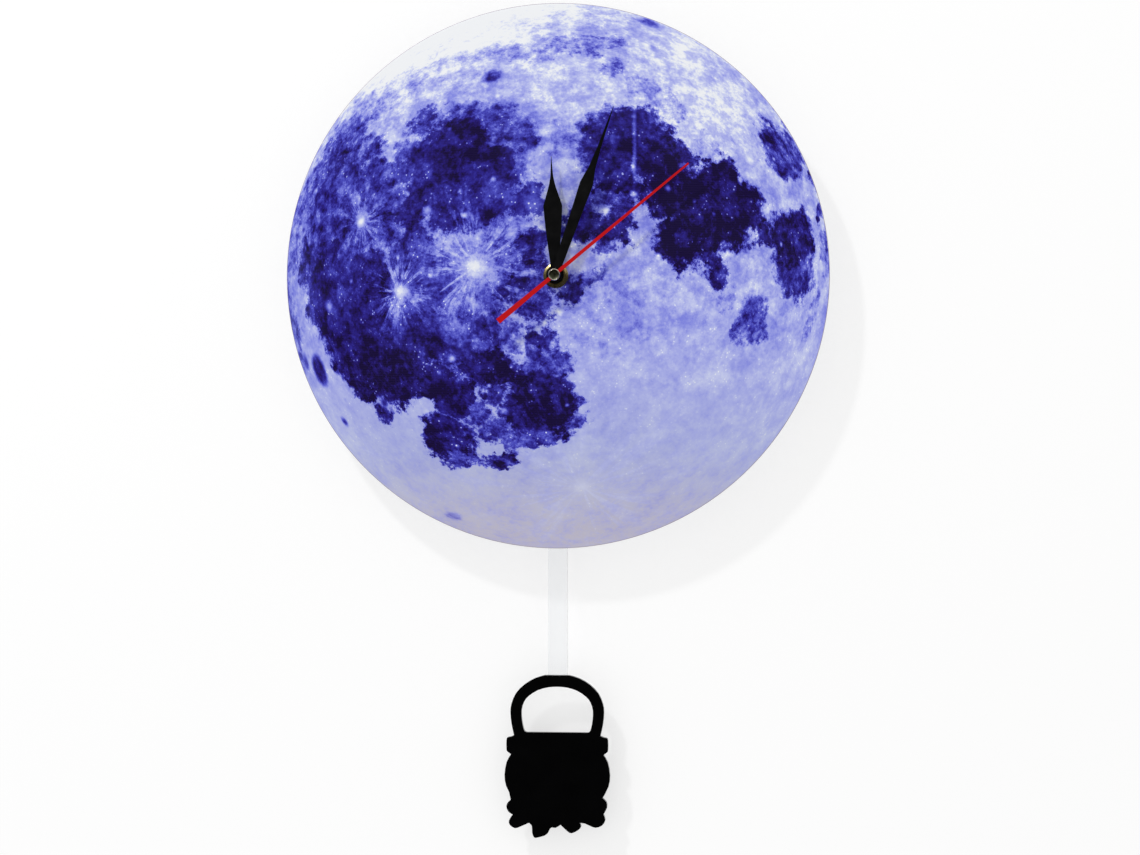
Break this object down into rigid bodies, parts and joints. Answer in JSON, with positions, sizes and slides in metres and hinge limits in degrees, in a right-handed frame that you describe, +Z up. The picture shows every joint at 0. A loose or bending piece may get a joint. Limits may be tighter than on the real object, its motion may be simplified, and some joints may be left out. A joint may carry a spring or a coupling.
{
  "type": "pendulum wall clock",
  "caption": "Round moon-printed acrylic wall clock with a battery movement and a cauldron-shaped pendulum bob on a clear strip.",
  "frame": {"origin": "on the wall plane, level with the hands' axis and directly behind it", "axes": "+Z up toward 12 o'clock, +Y into the wall, so the dial faces -Y; +X toward 3 o'clock as seen from the front"},
  "size_m": [0.3, 0.0335, 0.4606],
  "materials": {
    "moon_print": "cast acrylic with a printed face",
    "black_acrylic": "black cast acrylic, polished",
    "clear_acrylic": "clear cast acrylic, polished",
    "black_paint": "satin black paint on aluminium sheet",
    "red_paint": "satin red paint on aluminium sheet",
    "brass": "turned and bright",
    "nickel": "nickel plated",
    "steel": "plain",
    "rubber": "matt",
    "black_plastic": "moulded, fine grain",
    "white_plastic": "moulded",
    "acetal": "natural acetal",
    "green_acetal": "tinted acetal",
    "copper": "enamelled copper wire",
    "circuit_board": "solder mask on glass laminate",
    "cell_wrap": "printed sleeve on a steel can",
    "ferrite": "sintered"
  },
  "bodies": {
    "case": {"dial_disc": "moon_print", "rubber_washer": "rubber", "dial_washer": "brass", "hex_nut": "brass", "threaded_bush": "brass", "rear_housing": "black_plastic", "front_plate": "black_plastic", "middle_plate": "white_plastic", "hanger": "steel", "stator": "steel", "motor_core": "steel", "motor_screw_left": "steel", "motor_screw_right": "steel", "motor_bobbin": "white_plastic", "motor_winding": "copper", "clock_board": "circuit_board", "clock_chip": "black_plastic", "quartz_crystal": "steel", "power_cell": "cell_wrap", "contact_positive": "nickel", "contact_negative": "nickel", "contact_spring": "steel", "pivot_pin": "steel", "drive_bobbin": "white_plastic", "drive_winding": "copper", "drive_board": "circuit_board", "drive_chip": "black_plastic"},
    "seconds": {"second_wheel": "acetal", "second_hand": "red_paint", "second_hand_cap": "nickel"},
    "intermediate": {"intermediate_wheel": "green_acetal"},
    "rotor": {"rotor_pinion": "acetal", "rotor_magnet": "ferrite"},
    "third": {"third_wheel": "green_acetal"},
    "centre": {"centre_wheel": "acetal"},
    "minutes": {"cannon_pinion": "acetal", "clutch_spring": "steel", "minute_hand": "black_paint"},
    "motion": {"minute_wheel": "green_acetal"},
    "hours": {"hour_wheel": "acetal", "hour_hand": "black_paint"},
    "knob": {"set_knob": "white_plastic"},
    "pendulum": {"pendulum_lever": "white_plastic", "swing_magnet": "steel", "pendulum_rod": "clear_acrylic", "pendulum_bob": "black_acrylic"}
  },
  "joints": [
    {"name": "second_spin", "type": "hinge", "parent": "case", "child": "seconds", "pos_m": [0, 0, 0], "axis": [0, 1, 0], "continuous": true},
    {"name": "intermediate_spin", "type": "hinge", "parent": "case", "child": "intermediate", "pos_m": [-0.00552, 0, 0.00463], "axis": [0, 1, 0], "continuous": true},
    {"name": "rotor_spin", "type": "hinge", "parent": "case", "child": "rotor", "pos_m": [-0.00762, 0, 0.01042], "axis": [0, 1, 0], "continuous": true},
    {"name": "third_spin", "type": "hinge", "parent": "case", "child": "third", "pos_m": [0.00779, 0, 0.0045], "axis": [0, 1, 0], "continuous": true},
    {"name": "centre_spin", "type": "hinge", "parent": "case", "child": "centre", "pos_m": [0, 0, 0], "axis": [0, 1, 0], "continuous": true},
    {"name": "minute_spin", "type": "hinge", "parent": "case", "child": "minutes", "pos_m": [0, 0, 0], "axis": [0, 1, 0], "continuous": true},
    {"name": "motion_spin", "type": "hinge", "parent": "case", "child": "motion", "pos_m": [-0.00752, 0, -0.00274], "axis": [0, 1, 0], "continuous": true},
    {"name": "hour_spin", "type": "hinge", "parent": "case", "child": "hours", "pos_m": [0, 0, 0], "axis": [0, 1, 0], "continuous": true},
    {"name": "knob_spin", "type": "hinge", "parent": "case", "child": "knob", "pos_m": [-0.01524, 0, -0.00067], "axis": [0, 1, 0], "continuous": true},
    {"name": "pendulum_swing", "type": "hinge", "parent": "case", "child": "pendulum", "pos_m": [0, 0, -0.0348], "axis": [0, 1, 0], "range_deg": [-15, 15]}
  ],
  "couplings": [
    {"joint": "intermediate_spin", "follows": "second_spin", "ratio": -5},
    {"joint": "rotor_spin", "follows": "second_spin", "ratio": 30},
    {"joint": "third_spin", "follows": "second_spin", "ratio": -0.13333},
    {"joint": "centre_spin", "follows": "second_spin", "ratio": 0.016667},
    {"joint": "motion_spin", "follows": "minute_spin", "ratio": -0.33333},
    {"joint": "hour_spin", "follows": "minute_spin", "ratio": 0.083333},
    {"joint": "knob_spin", "follows": "minute_spin", "ratio": 1}
  ]
}
